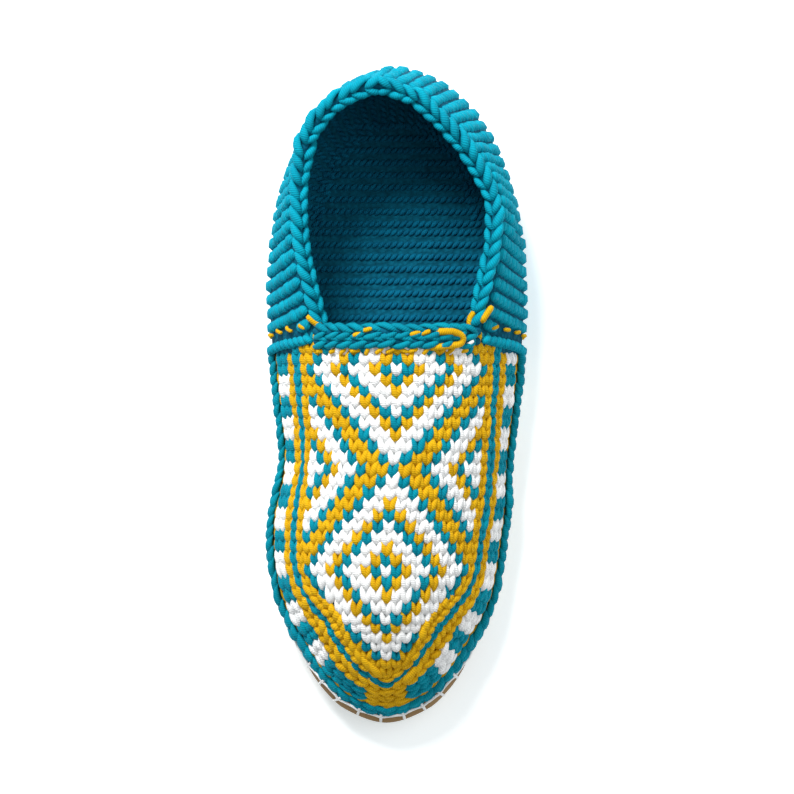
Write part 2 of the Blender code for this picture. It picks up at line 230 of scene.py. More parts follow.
def normal(side, distance, level):
    """Outward directions of the knitting at these points."""
    side, distance, level = np.broadcast_arrays(side, distance, level)
    near, far = np.maximum(distance - 0.8, 0.0), np.minimum(distance + 0.8, OUTLINE_LENGTH)
    along = skin(side, far, level) - skin(side, near, level)
    sideways = side[..., None] * (1.0, 0.0, 0.0)
    along = np.where((near <= 0.0)[..., None], sideways, along)
    along = np.where((far >= OUTLINE_LENGTH)[..., None], -sideways, along)
    low, high = np.maximum(level - 0.03, -1.0), np.minimum(level + 0.03, 2.0)
    up = skin(side, distance, high) - skin(side, distance, low)
    found = unit(side[..., None] * np.cross(along, up))
    found = np.where((level <= FLAT_LEVEL)[..., None], (0.0, 0.0, -1.0), found)
    return np.where((level >= 1.999)[..., None], (0.0, 0.0, 1.0), found)


def wall_place(side, distance, level, lift=0.0):
    """A place over the knitting and its outward direction. The garter part stands over the tube."""
    distance = np.clip(distance, 0.0, OUTLINE_LENGTH)
    behind = np.clip((y_at(distance) - CUFF_FRONT) / (CUFF_FULL - CUFF_FRONT), 0.0, 1.0)
    cuff = CUFF_STEP * behind * blend(FLAT_LEVEL, -0.05, level) * (level <= 1.0)
    out = normal(side, distance, level)
    return skin(side, distance, level) + out * (cuff + lift)[..., None], out


ARC_LEVELS = np.concatenate([np.linspace(-1.0, 0.0, 41), np.linspace(0.0, 2.0, 121)[1:]])


def rib_arcs(side, distance):
    """Length along one rib from the side line, negative under the foot, at every ARC_LEVELS."""
    arcs = path_lengths(skin(side, distance, ARC_LEVELS)[None])[0]
    return arcs - np.interp(0.0, ARC_LEVELS, arcs)


def forefoot_edge(distance):
    """Level of the forefoot patch's edge: low along the foot, up over the side line at the toe."""
    rise = TOE_EDGE - FOREFOOT_EDGE
    return FOREFOOT_EDGE + rise * blend(TOE_EDGE_FROM, TOE_EDGE_TO, y_at(distance))


def heel_edge(distance):
    """Level of the heel patch's edge, lowest at its front corners."""
    y = y_at(distance)
    front = (HEEL_FRONT_EDGE - HEEL_EDGE) * blend(HEEL_FRONT_END, HEEL_PATCH_FRONT, y)
    return HEEL_EDGE + front + (HEEL_BACK_EDGE - HEEL_EDGE) * blend(HEEL_BACK_FROM, LENGTH / 2, y)


# ---- charts
class Chart:
    """A patch of knitting as a grid: (across, along) to points and outward normals."""

    def __init__(self, across, along, points, normals):
        self.across, self.along, self.points, self.normals = across, along, points, normals

    def __call__(self, across, along):
        i = np.interp(across, self.across, np.arange(len(self.across)))
        j = np.interp(along, self.along, np.arange(len(self.along)))
        i0 = np.minimum(i.astype(int), len(self.across) - 2)
        j0 = np.minimum(j.astype(int), len(self.along) - 2)
        s, t = (i - i0)[..., None], (j - j0)[..., None]

        def mixed(grid):
            near = grid[i0, j0] * (1 - t) + grid[i0, j0 + 1] * t
            far = grid[i0 + 1, j0] * (1 - t) + grid[i0 + 1, j0 + 1] * t
            return near * (1 - s) + far * s

        return mixed(self.points), unit(mixed(self.normals))

    def width(self, across, along):
        """Length of one column at these places."""
        ahead, behind = self(across + 0.4, along)[0], self(across - 0.4, along)[0]
        return np.linalg.norm(ahead - behind, axis=-1) / 0.8


# Rows of the middle field down the crown's centre line.
FIELD_ROWS = table(
    "row y",
    *((-4, 25.7), (0, 10.2), (5, -9.2), (9, -26.4), (12, -39.3), (17, -59.4), (18, -63.6)),
    *((18.1, -64.0), (19, -67.6), (20, -72.6), (21, -77.3), (22, -81.4), (23, -84.6), (24, -88.0)),
    *((25, -91.6), (26, -95.0), (27, -98.0), (28, -101.1), (29, -104.4), (30, -107.4)),
    (31, -110.4),
)
# Rows of the border bands: distance from the toe's tip along the side line, and the length along
# a rib from there up to each band.
BAND_ROWS = table(
    "row distance c9 c10 c11 c12 c14 c15 edge under",
    (18.2, 74.0, 23.3, 19.7, 16.2, 12.6, 5.4, 1.8, 0.0, -14.4),
    (20.0, 64.3, 26.4, 22.3, 18.5, 14.0, 5.6, 1.8, 0.0, -14.0),
    (22.0, 54.6, 29.2, 23.7, 19.3, 14.0, 5.8, 3.0, 1.1, -13.0),
    (25.5, 37.6, 32.0, 25.7, 21.5, 14.6, 8.5, 7.5, 5.8, -10.0),
    (28.0, 24.0, 31.5, 26.0, 22.0, 15.8, 9.8, 8.8, 7.2, -8.0),
    (30.5, 9.4, 28.5, 23.7, 20.2, 15.6, 10.2, 9.0, 7.4, -6.0),
    (32.1, 0.0, 25.3, 21.1, 18.1, 15.0, 10.6, 9.3, 7.5, -5.0),
)
BAND_COLUMNS = [9.5, 10.5, 11.5, 12.5, 14.5, 15.5, 16.0, 20.0]
# How far the borders are pulled in round the toe, on each side.
PULL_ROWS = table(
    "row left right",
    *((20.0, 0.0, 0.5), (22.0, 2.0, 3.0), (24.0, 3.2, 4.5), (26.0, 3.5, 5.8), (28.0, 3.3, 6.0)),
    *((30.0, 2.8, 4.0), (32.1, 2.8, 2.8)),
)
PULL_SHARES = np.array([0.75, 0.9, 1.0, 1.0, 0.3, 0.0, 0.0, 0.0])
# Sideways drift of the columns over the ball of the foot, where it stretches.
DRIFT = table(
    "column share",
    *((-16, 0), (-13.5, -0.2), (-12, 0), (-11, -0.1), (-10, -0.45), (-9, -0.5), (-7, -0.35)),
    *((-5, -0.5), (-3, -0.45), (0, -0.28), (2, 0), (7, 0), (9, 0.15), (10, 0.3), (11, 0.35)),
    *((12, 0.45), (13.5, 0.35), (16, 0)),
)
DRIFT_Y, DRIFT_REACH = -27.0, 15.0
LAST_ROW = BAND_ROWS[-1].row
TOE_DISTANCE = distance_at(TOE_SPINE_END)


def look_up(rows, key, column, place):
    """A column of a table between its rows, at this place of its key column."""
    return np.interp(place, *([getattr(row, name) for row in rows] for name in (key, column)))


def field_y(row):
    return look_up(FIELD_ROWS, "row", "y", row)


def drifted(column, y):
    stretch = math.exp(-(((y - DRIFT_Y) / DRIFT_REACH) ** 2))
    return column + look_up(DRIFT, "column", "share", column) * stretch


def chart_rows(last):
    """Half rows up to the last one, with the row where the toe begins."""
    return np.unique([*np.arange(FIRST_ROW - 1.0, last, 0.5), TOE_ROW, last])


def tube_level(side, distance, column):
    """Level of a column of the straight tube: 0 on top, 16 at the side line, 32 underneath."""
    arcs = rib_arcs(side, distance)
    arc = np.interp(np.abs(column), SIDE_COLUMN * np.arange(3), (arcs[-1], 0.0, arcs[0]))
    return np.interp(arc, arcs, ARC_LEVELS)


def field_place(column, x, y):
    """(side, distance, level) in the middle field: by columns on the tube, by x on the toe."""
    side = 1.0 if column >= 0 else -1.0
    if y > TOE_SPINE_END - 0.01:
        return side, distance_at(y), tube_level(side, distance_at(y), column)
    distances = np.linspace(0.0, TOE_DISTANCE, 300)
    outline_y = y_at(distances)
    edge_x = side * (middle_x(outline_y) - middle_x(TOE_SPINE_END)) + half_width_at(distances)
    edge_drop, drop = TOE_SPINE_END - outline_y, TOE_SPINE_END - y
    distance = np.interp(np.arctan2(abs(x), drop), np.arctan2(edge_x, edge_drop), distances)
    reach = np.interp(distance, distances, np.hypot(edge_x, edge_drop))
    share = min(math.hypot(x, drop) / reach, 1.0)
    collar = table_value(SECTIONS, "collar_share", y_at(distance))
    if share < collar:
        return side, distance, 2.0 - share / collar
    return side, distance, math.sqrt((1.0 - share) / (1.0 - collar))


def field_chart():
    """The middle field on top of the foot, from under the throat to the toe."""
    columns = np.arange(-11.0, 11.01, 0.5)
    rows = chart_rows(31.0)
    start = tube_level(1, TOE_DISTANCE, columns)
    start_x = skin(1, TOE_DISTANCE, start)[:, 0] - middle_x(TOE_SPINE_END)
    places = []
    for y in map(field_y, rows):
        places.append([field_place(*place, y) for place in zip(drifted(columns, y), start_x)])
    places = np.array(places).T
    return Chart(columns, rows, skin(*places), normal(*places))


def band_chart(side):
    """Everything outside the middle field on one side: borders, side line and underneath."""
    columns = np.arange(9.0, 32.01, 0.5)
    rows = chart_rows(LAST_ROW)
    distances, levels = [], []
    for row in rows:
        y = field_y(row)
        if y > TOE_SPINE_END - 0.01:
            distance = distance_at(y)
            level = tube_level(side, distance, drifted(side * columns, y))
        else:
            names = BAND_ROWS[0]._fields[1:]
            distance, *heights = (look_up(BAND_ROWS, "row", name, row) for name in names)
            heights += PULL_SHARES * look_up(PULL_ROWS, "row", "right" if side > 0 else "left", row)
            arc = np.interp(columns, BAND_COLUMNS, heights)
            arc += np.maximum(BAND_COLUMNS[0] - columns, 0.0) * (heights[0] - heights[1])
            level = np.interp(arc, rib_arcs(side, distance), ARC_LEVELS)
        distances.append(distance)
        levels.append(level)
    places = side, np.array(distances), np.array(levels).T
    return Chart(columns, rows, skin(*places), normal(*places))


FIELD = field_chart()
BAND = {side: band_chart(side) for side in (-1, 1)}

# ---- the stitch pattern
FIELD_RINGS = "WTGWWTGWWTGGTWWGTWW"
BANDS = {10: "G", 11: "T", 12: "G", 15: "G", 16: "T"}
CHECKS = (13, 14)
CHECKS_END, TIP_ROW = REPEAT + 8.6, REPEAT + 12.6


def stitch_colour(column, row):
    """W white, T teal or G gold, for a column round the tube and a row towards the toe."""
    count = SIDE_COLUMN - abs(SIDE_COLUMN - abs(column))
    if count in CHECKS:
        if row > TIP_ROW:
            return "G"
        if row > CHECKS_END + (column > 0):
            return "T"
        return "W" if (math.floor(row + 0.01) - 1 - (column > 0)) % 4 < 2 else "T"
    if count in BANDS:
        return BANDS[count]
    middle = REPEAT * min(round(row / REPEAT), 1)
    ring = count + abs(row - middle)
    if count == 0 and ring == 9 and row > REPEAT:
        return "G"
    return FIELD_RINGS[min(ring, len(FIELD_RINGS) - 1)]


# ---- yarn
def add_object(name, data, place=(0.0, 0.0, 0.0)):
    made = bpy.data.objects.new(name, data)
    made.location = place
    bpy.context.scene.collection.objects.link(made)
    return made


def add_mesh(name, points, faces, looks, replaced=(), uvs=None):
    """A smooth piece in metres, from arrays or lists in millimetres."""
    mesh = bpy.data.meshes.new(name)
    mesh.from_pydata(np.asarray(points) * MM, [], faces)
    if uvs is not None:
        mesh.uv_layers.new(name="strand").data.foreach_set("uv", uvs.ravel())
    mesh.shade_smooth()
    for look in looks:
        mesh.materials.append(look)
    made = add_object(name, mesh)
    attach(made, "root")
    if replaced:
        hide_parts(*replaced)
    return made


def grid_faces(index):
    """Quads between the points of a grid of point numbers."""
    corners = index[:-1, :-1], index[:-1, 1:], index[1:, 1:], index[1:, :-1]
    return np.stack(corners, -1).reshape(-1, 4)


class Yarn:
    """Gathers yarn-like tubes into one mesh, with UVs along and round the strand."""

    def __init__(self):
        self.points, self.faces, self.uvs = [], [], []
        self.count = 0

    def add(self, paths, normals, radii, flatten=0.85, sides=6):
        """Tubes along paths, (strands, steps, 3), flattened towards their normals."""
        ahead = unit(np.gradient(paths, axis=1))
        across = unit(np.cross(normals, ahead))
        up = np.cross(ahead, across)
        turn = np.arange(sides) / sides
        angle = 2 * math.pi * turn[:, None]
        rings = across[:, :, None] * np.cos(angle) + up[:, :, None] * (np.sin(angle) * flatten)
        rings *= np.broadcast_to(radii, paths.shape[:2])[..., None, None]
        self.points.append((paths[:, :, None] + rings).reshape(-1, 3))
        index = self.count + np.arange(rings[..., 0].size).reshape(rings.shape[:3])
        self.count += index.size
        turned = np.roll(index, -1, axis=2)
        quads = np.stack([index[:, :-1], turned[:, :-1], turned[:, 1:], index[:, 1:]], -1)
        self.faces.append(quads.reshape(-1, 4))
        lengths = path_lengths(paths)[..., None]
        start, end, next_turn = lengths[:, :-1], lengths[:, 1:], turn + 1 / sides
        corners = (start, turn, start, next_turn, end, next_turn, end, turn)
        self.uvs.append(np.stack(np.broadcast_arrays(*corners), -1).reshape(-1, 4, 2))

    def piece(self, name, look, slot, *replaced):
        points, faces, uvs = (np.concatenate(part) for part in (self.points, self.faces, self.uvs))
        return add_mesh(name, points, faces, [look], replaced, uvs)


# One leg of a knit stitch: across in columns, along in rows, height and radius in yarn radii.
LEG = table(
    "across along height radius",
    (0.53, -0.95, -0.6, 0.12),
    (0.49, -0.72, -0.1, 0.6),
    (0.42, -0.42, 0.24, 0.92),
    (0.315, -0.08, 0.42, 1.12),
    (0.2, 0.24, 0.4, 1.12),
    (0.1, 0.52, 0.12, 0.8),
    (0.03, 0.78, -0.45, 0.1),
)


def add_knit(yarn, chart, columns, rows, size=0.3, limits=(0.8, 1.5), lift=0.0, jitter=1.4):
    """V stitches at (columns, rows) of a chart, pointing to the higher rows."""
    leg_across, leg_along, leg_height, leg_radius = np.array(LEG).T[:, None]
    radius = np.clip(chart.width(columns, rows) * size, *limits)[:, None]
    for mirror in (-1.0, 1.0):
        wobble = RANDOM.normal(0.0, jitter, (4, len(columns), 1))
        scale = 1.0 + 0.05 * wobble[0]
        across = columns[:, None] + mirror * leg_across * scale + 0.02 * wobble[1]
        along = rows[:, None] + leg_along * scale + 0.03 * wobble[2]
        place, out = chart(across, along)
        paths = place + out * (radius * (leg_height + 0.08 * wobble[3]) + lift)[..., None]
        yarn.add(paths, out, radius * leg_radius * scale)


def along_path(path, normals, places):
    """Points, normals and directions at distances along a polyline."""
    lengths = path_lengths(path[None])[0]
    columns = (*path.T, *normals.T, *np.gradient(path, axis=0).T)
    found = np.stack([np.interp(places, lengths, values) for values in columns], -1)
    return found[..., :3], unit(found[..., 3:6]), unit(found[..., 6:])


def add_rope(yarn, path, normals, pitch, length, slant, radius, lift, drop=0.5, flatten=0.85):
    """A ridge of slanted loops along a path, as a row of garter stitches makes."""
    total = path_lengths(path[None])[0, -1]
    count = max(int(total / pitch), 1)
    step = np.linspace(-0.5, 0.5, 6)
    middle = (np.arange(count) + 0.5) * total / count
    wobble = RANDOM.normal(0.0, 1.0, (3, count, 1))
    reach = length * (1.0 + 0.06 * wobble[0])
    places = middle[:, None] + reach * math.cos(slant) * step
    place, out, ahead = along_path(path, normals, np.clip(places, 0.0, total))
    aside = np.cross(out, ahead)
    rise = radius * (drop * np.cos(math.pi * step) - drop + 0.1 * wobble[1]) + lift
    paths = place + aside * (reach * math.sin(slant) * step)[..., None] + out * rise[..., None]
    radii = radius * np.array([0.12, 0.82, 1.0, 1.0, 0.82, 0.12]) * (1.0 + 0.05 * wobble[2])
    yarn.add(paths, out, radii, flatten)


def add_strand(yarn, points, out, radius, steps=6, taper=1.0, flatten=0.9):
    """One smooth strand through points, its ends tapered to a point over taper millimetres."""
    knots = [2 * points[0] - points[1], *points, 2 * points[-1] - points[-2]]
    t = np.arange(steps)[:, None] / steps
    parts = []
    for before, start, end, after in zip(knots, knots[1:], knots[2:], knots[3:]):
        parts.append(cubic(start, (end - before) / 2, end, (after - start) / 2, t))
    path = np.concatenate([*parts, points[-1:]])
    lengths = path_lengths(path[None])[0]
    share = np.clip(np.minimum(lengths, lengths[-1] - lengths) / taper, 0.0, 1.0)
    radii = np.maximum(radius * np.sqrt(share * (2.0 - share)), 0.02)
    yarn.add(path[None], np.broadcast_to(out, path[None].shape), radii, flatten)


# ---- materials
class Look:
    """A Principled material whose nodes are added by short calls."""

    def __init__(self, name, **shader):
        self.material = bpy.data.materials.new(name)
        self.material.use_nodes = True
        self.tree = self.material.node_tree
        self.shader = self.tree.nodes["Principled BSDF"]
        for key, value in shader.items():
            self.shader.inputs[key.replace("_", " ")].default_value = value

    def put(self, value, socket):
        if isinstance(value, bpy.types.NodeSocket):
            self.tree.links.new(value, socket)
        else:
            socket.default_value = value

    def add(self, kind, *inputs, **values):
        """A new node. Inputs go to its sockets in order, values to what they name."""
        made = self.tree.nodes.new("ShaderNode" + kind)
        for key, value in values.items():
            if key in made.inputs:
                self.put(value, made.inputs[key])
            else:
                setattr(made, key, value)
        for value, socket in zip(inputs, made.inputs):
            self.put(value, socket)
        return made

    def math(self, operation, *inputs):
        return self.add("Math", *inputs, operation=operation).outputs[0]

    def texture(self, kind, **values):
        place = self.add("TexCoord").outputs["Object"]
        return self.add(kind, Vector=place, **values).outputs[0]

    def bump(self, height, strength, distance):
        made = self.add("Bump", Height=height, Strength=strength, Distance=distance)
        self.put(made.outputs[0], self.shader.inputs["Normal"])

    def colour(self, share, *stops):
        """Base colour by a share, between (position, colour) stops."""
        ramp = self.add("ValToRGB", share)
        for element, (position, colour) in zip(ramp.color_ramp.elements, stops):
            element.position = position
            element.color = (*colour, 1.0)
        self.put(ramp.outputs[0], self.shader.inputs["Base Color"])


PLIES, PLY_TWIST = 3, 0.42


def yarn_look(name, dark, light, fuzz=0.02):
    """Plied wool: a helix of plies along the strand, fine fibres and uneven dye."""
    look = Look(
        name,
        Roughness=0.82,
        Sheen_Weight=fuzz,
        Sheen_Roughness=0.45,
        Sheen_Tint=(*light, 1.0),
        Specular_IOR_Level=0.08,
    )
    strand = look.add("SeparateXYZ", look.add("UVMap", uv_map="strand").outputs[0])
    turns = look.math("ADD", look.math("MULTIPLY", strand.outputs[0], PLY_TWIST), strand.outputs[1])
    plies = look.math("SINE", look.math("MULTIPLY", turns, 2 * math.pi * PLIES))
    fibres = look.texture("TexNoise", Scale=2600.0, Detail=3.0, Roughness=0.7)
    dye = look.texture("TexNoise", Scale=160.0, Detail=2.0)
    look.bump(look.math("MULTIPLY_ADD", plies, 0.5, fibres), 0.45, 0.0003)
    uneven = look.math("MULTIPLY", look.math("ADD", dye, fibres), 0.5)
    # Painted shade: the plies' wave also darkens the colour in the grooves between the plies.
    look.colour(look.math("MULTIPLY_ADD", plies, 0.09, uneven), (0.28, dark), (0.68, light))
    return look.material


def painted_shade_ground_look(name, colour):
    """The yarn that shows in the gaps between stitches, with small loops, painted darker as shade.
    """
    look = Look(name, Roughness=0.9, Specular_IOR_Level=0.1)
    loops = look.texture("TexVoronoi", Scale=520.0)
    look.bump(loops, 0.8, 0.0008)
    # Painted shade: darker away from each loop's middle, down to half the colour.
    look.colour(loops, (0.0, colour), (1.0, tuple(0.5 * part for part in colour)))
    return look.material


def suede_look():
    """Brown suede: cloudy nap and a fine grain."""
    look = Look(
        "suede", Roughness=0.9, Sheen_Weight=0.12, Sheen_Roughness=0.5, Specular_IOR_Level=0.15
    )
    cloud = look.texture("TexNoise", Scale=34.0, Detail=4.0, Roughness=0.6)
    grain = look.texture("TexNoise", Scale=1900.0, Detail=3.0, Roughness=0.7)
    nap = look.math("MULTIPLY_ADD", grain, 0.35, cloud)
    look.colour(nap, (0.45, (0.165, 0.088, 0.028)), (0.85, (0.27, 0.158, 0.054)))
    look.bump(grain, 0.5, 0.0002)
    return look.material


TEAL = yarn_look("teal_yarn", (0.001, 0.158, 0.235), (0.001, 0.295, 0.39))
# Painted light: the teal yarn made about a fifth brighter for the heel walls and edgings, for the
# light on them.
TEAL_WALL_PAINTED_LIGHT = yarn_look("teal_wall_painted_light", (0.001, 0.19, 0.285), (0.001, 0.36, 0.485))
# Painted shade: the inside rows' teal is painted about twice as dark, for the shade inside the
# slipper.
TEAL_INSIDE_PAINTED_SHADE = yarn_look("teal_inside_painted_shade", (0.001, 0.07, 0.14), (0.001, 0.155, 0.27), fuzz=0.0)
GOLD = yarn_look("gold_yarn", (0.49, 0.26, 0.003), (0.79, 0.46, 0.01))
WHITE = yarn_look("white_yarn", (0.76, 0.77, 0.77), (0.92, 0.92, 0.91), fuzz=0.1)
# Painted shade: the ground colours are darker than their yarns, for the shade in the gaps under the
# stitches.
TEAL_GROUND_PAINTED_SHADE = painted_shade_ground_look("teal_ground_painted_shade", (0.001, 0.12, 0.2))
GOLD_GROUND_PAINTED_SHADE = painted_shade_ground_look("gold_ground_painted_shade", (0.38, 0.19, 0.006))
WHITE_GROUND_PAINTED_SHADE = painted_shade_ground_look("white_ground_painted_shade", (0.56, 0.6, 0.6))
SUEDE_LOOK = suede_look()


# ---- the toe tube
def in_field(column, row):
    """True where a middle stitch lies inside the border bands."""
    if row < TOE_ROW:
        return True
    side = 1 if column >= 0 else -1
    spot = FIELD(column, row)[0]
    inner = BAND[side](np.full(80, 9.6), np.linspace(TOE_ROW, LAST_ROW, 80))[0]
    limit = np.interp(spot[1], inner[::-1, 1], side * inner[::-1, 0])
    return side * spot[0] < limit - 0.3 and spot[1] > inner[-1, 1] - 0.5


def above_patch(chart, column, row):
    """True where a stitch under the side line is not covered by the forefoot patch."""
    spot = chart(column, row)[0]
    if spot[1] > FOREFOOT_PATCH_BACK - 2.0:
        return True
    distance, margin = distance_at(spot[1]), -0.6
    if row > TOE_ROW:
        distance, margin = look_up(BAND_ROWS, "row", "distance", row), 0.6
    return spot[2] > skin(1, distance, forefoot_edge(distance))[2] + margin


def tube_stitches():
    """(chart, column, row, colour) of every visible stitch of the toe tube."""
    found = []
    for column, row in itertools.product(range(-9, 10), range(FIRST_ROW, REPEAT + 13)):
        if in_field(column, row):
            found.append((FIELD, column, row, stitch_colour(column, row)))
    for side in (-1, 1):
        for count in range(10, 2 * SIDE_COLUMN + (side > 0)):
            for row in range(-2 if count < 12 else -1, int(LAST_ROW) + 1):
                if count <= SIDE_COLUMN or above_patch(BAND[side], count, row):
                    found.append((BAND[side], count, row, stitch_colour(side * count, row)))
    return found


def make_tube():
    """The stitches, with a standing ridge along the side line and a sunk column beside it."""
    stitches = tube_stitches()
    for colour, name, look, *replaced in (
        ("T", "teal_stitches", TEAL, "upper"),
        ("G", "gold_stitches", GOLD),
        ("W", "white_stitches", WHITE),
    ):
        yarn = Yarn()
        for chart in (FIELD, BAND[-1], BAND[1]):
            chosen = [s[1:3] for s in stitches if s[0] is chart and s[3] == colour]
            columns, rows = np.array(chosen, float).reshape(-1, 2).T
            ridge = columns == SIDE_COLUMN
            sunk = (np.abs(columns) == SIDE_COLUMN - 1) & (rows < TIP_ROW)
            plain = ~ridge & ~sunk
            add_knit(yarn, chart, columns[plain], rows[plain])
            lift = -0.45 + 0.45 * blend(21.0, 24.0, rows[sunk])
            add_knit(yarn, chart, columns[sunk], rows[sunk], 0.2, (0.6, 0.85), lift[:, None])
            lift = 1.1 - 1.0 * blend(22.5, 26.0, rows[ridge])
            add_knit(yarn, chart, columns[ridge], rows[ridge], 0.42, (1.15, 1.7), lift[:, None])
        yarn.piece(name, look, "knitting", *replaced)


def make_ground():
    """The knitting under the stitches, each stitch's cell in its own colour."""
    points, faces, colours = [], [], []
    count = 0
    field = np.arange(-9.5, 9.51, 0.5), np.arange(FIRST_ROW - 0.5, REPEAT + 12.51, 0.5)
    band = np.arange(9.5, 32.01, 0.5), np.append(np.arange(-1.5, LAST_ROW, 0.5), LAST_ROW)
    for chart, lines, side in ((FIELD, field, 1), (BAND[-1], band, -1), (BAND[1], band, 1)):
        place, out = chart(*np.meshgrid(*lines, indexing="ij"))
        points.append((place + out * 0.05).reshape(-1, 3))
        index = count + np.arange(len(points[-1])).reshape(place.shape[:2])
        count += index.size
        cells = itertools.product(*((line[1:] + line[:-1]) / 2 for line in lines))
        for face, (column, row) in zip(grid_faces(index), cells):
            if chart is not FIELD or in_field(column, row):
                faces.append(face[::side])
                colours.append("TGW".index(stitch_colour(side * round(column), round(row))))
    # The ground looks paint the gaps under the stitches darker as shade.
    looks = [TEAL_GROUND_PAINTED_SHADE, GOLD_GROUND_PAINTED_SHADE, WHITE_GROUND_PAINTED_SHADE]
    sheet = add_mesh("tube_ground", np.concatenate(points), faces, looks)
    sheet.data.polygons.foreach_set("material_index", colours)


# ---- the body under the stitches
INNER_DEPTH, OUTER_DEPTH = TUBE_WALL - 0.3, 0.45


def inner_place(side, distance, level):
    """A place on the knitting's inner face, and the direction into the shoe."""
    into = -normal(side, distance, level)
    return skin(side, distance, level) + into * INNER_DEPTH, into


def make_body():
    """Outer and inner faces of the knitting, joined along the collar and the throat."""
    throat = distance_at(THROAT)
    distances = [
        *np.linspace(0.0, TOE_DISTANCE, 25),
        *np.linspace(TOE_DISTANCE, distance_at(CUFF_FRONT), 17)[1:],
        distance_at(CUFF_FULL),
        *np.linspace(throat, OUTLINE_LENGTH, 45),
    ]
    low = [*np.linspace(-1.0, FLAT_LEVEL, 7), *np.linspace(FLAT_LEVEL, 0.0, 8)[1:]]
    high = np.linspace(0.0, 2.0, 21)[1:]
    numbers, grids = {}, ([], [])
    for side, distance in [(1, d) for d in distances] + [(-1, d) for d in distances[-2:0:-1]]:
        levels = np.array([*low, *(high if distance <= throat + 0.01 else high[high < 1.01])])
        outer = wall_place(side, distance, levels, -OUTER_DEPTH)[0]
        inner = inner_place(side, distance, levels)[0]
        for grid, places in zip(grids, (outer, inner)):
            places = map(tuple, np.round(places, 3))
            grid.append([numbers.setdefault(place, len(numbers)) for place in places])
    faces, rim = [], set()
    for layer, grid in enumerate(grids):
        for here, there in zip(grid, grid[1:] + grid[:1]):
            for corners in zip(here, there, there[1:], here[1:]):
                corners = tuple(dict.fromkeys(corners[::-1] if layer else corners))
                if len(corners) > 2:
                    faces.append(corners)
                    rim.update(zip(corners, corners[1:] + corners[:1]))
    partner = {o: i for outer, inner in zip(*grids) for o, i in zip(outer, inner)}
    for a, b in rim:
        if (b, a) not in rim and a in partner and b in partner:
            faces.append((b, a, partner[a], partner[b]))
    # Both faces take the ground teal, painted darker as shade under the stitches.
    add_mesh("knit_body", list(numbers), faces, [TEAL_GROUND_PAINTED_SHADE])


# ---- garter heel part
def make_garter():
    """Ridges from under the foot up the walls, leaning back as they rise."""
    yarn = Yarn()
    start, sole_end = distance_at(CUFF_FULL + 9.2), distance_at(HEEL_PATCH_FRONT - 2.4)
    total = OUTLINE_LENGTH - start
    pitch = total / (round(total / GARTER_PITCH) + 0.5)
    for side in (-1, 1):
        for base in np.arange(start - 2 * pitch, OUTLINE_LENGTH, pitch):
            low, fat = -1.0, SOLE_RIDGE
            if base >= sole_end:
                low, fat = heel_edge(base) + 0.005, WALL_RIDGE
            levels = np.linspace(low, 0.97, 44)
            round_heel = blend(HEEL_SPINE_END, 112.0, y_at(base))
            places = base + GARTER_LEAN * (1.0 - round_heel) * np.clip(levels, 0.0, 1.0) ** 2
            kept = places > start - 0.5
            if kept.sum() < 4:
                continue
            path, out = wall_place(side, places[kept], levels[kept])
            lift = 1.79 - fat - 0.35 * round_heel
            add_rope(yarn, path, out, 3.0, 6.2, 0.42 * side, fat, lift, flatten=0.74)
    # The brighter wall teal is painted light.
    yarn.piece("garter_ridges", TEAL_WALL_PAINTED_LIGHT, "knitting")


def add_inner_row(yarn, path, out):
    add_rope(yarn, path, out, pitch=2.3, length=4.0, slant=0.7, radius=0.95, lift=0.15, drop=0.4)


def make_inside():
    """The inner face of the garter heel part: rows across the insole and up the walls."""
    yarn = Yarn()
    for y in np.arange(2.0, HEEL_SPINE_END - 1.0, GARTER_INSIDE):
        levels = np.linspace(-1.0, 0.9 if y > THROAT + 2.0 else 0.6, 50)
        halves = zip(*(inner_place(side, distance_at(y), levels) for side in (-1, 1)))
        add_inner_row(yarn, *(np.concatenate([left[::-1], right[1:]]) for left, right in halves))
    floor_z = skin(1, OUTLINE_LENGTH, -1.0)[2] + INNER_DEPTH
    for y in np.arange(HEEL_SPINE_END - 1.0, 106.0, GARTER_INSIDE):
        half = FLAT_SHARE * half_width_at(distance_at(y)) * (1.0 - 0.3 * blend(80.0, 115.0, y))
        path = np.linspace((-half, y, floor_z), (half, y, floor_z), 30)
        add_inner_row(yarn, path, np.broadcast_to([0.0, 0.0, 1.0], path.shape))
    start = distance_at(HEEL_SPINE_END)
    count = round((OUTLINE_LENGTH - start) / GARTER_INSIDE)
    distances = start + (np.arange(count) + 0.5) * (OUTLINE_LENGTH - start) / count
    for side, distance in itertools.product((-1, 1), distances):
        add_inner_row(yarn, *inner_place(side, distance, np.linspace(-0.42, 0.92, 40)))
    # The darker teal of the inside rows is painted shade.
    yarn.piece("inside_rows", TEAL_INSIDE_PAINTED_SHADE, "knitting")


# ---- the chains round the opening
EDGE_ARC = math.radians(170.0)
RIM_WIDE, RIM_HIGH = 2.7, 2.0
RIM_TURN = -0.1
THROAT_HALF = 29.0


def arch(across, aside, up, half_wide, high):
    """Points and normals of a strip arched round its middle line, across by along."""
    angle = (across * EDGE_ARC)[:, None, None]
    points = aside * (np.sin(angle) * half_wide) + up * (np.cos(angle) * high)
    return points, unit(aside * (np.sin(angle) / half_wide) + up * (np.cos(angle) / high))


def rim_frame(side, count):
    """Middle of the collar's edge from throat to heel, its outward and its upward direction."""
    distances = np.linspace(distance_at(THROAT + 1.0), OUTLINE_LENGTH, count)
    edge, out = skin(side, distances, 1.0), normal(side, distances, 1.0)
    return edge + out * ((CUFF_STEP - TUBE_WALL) / 2), out, unit(edge - skin(side, distances, 0.9))


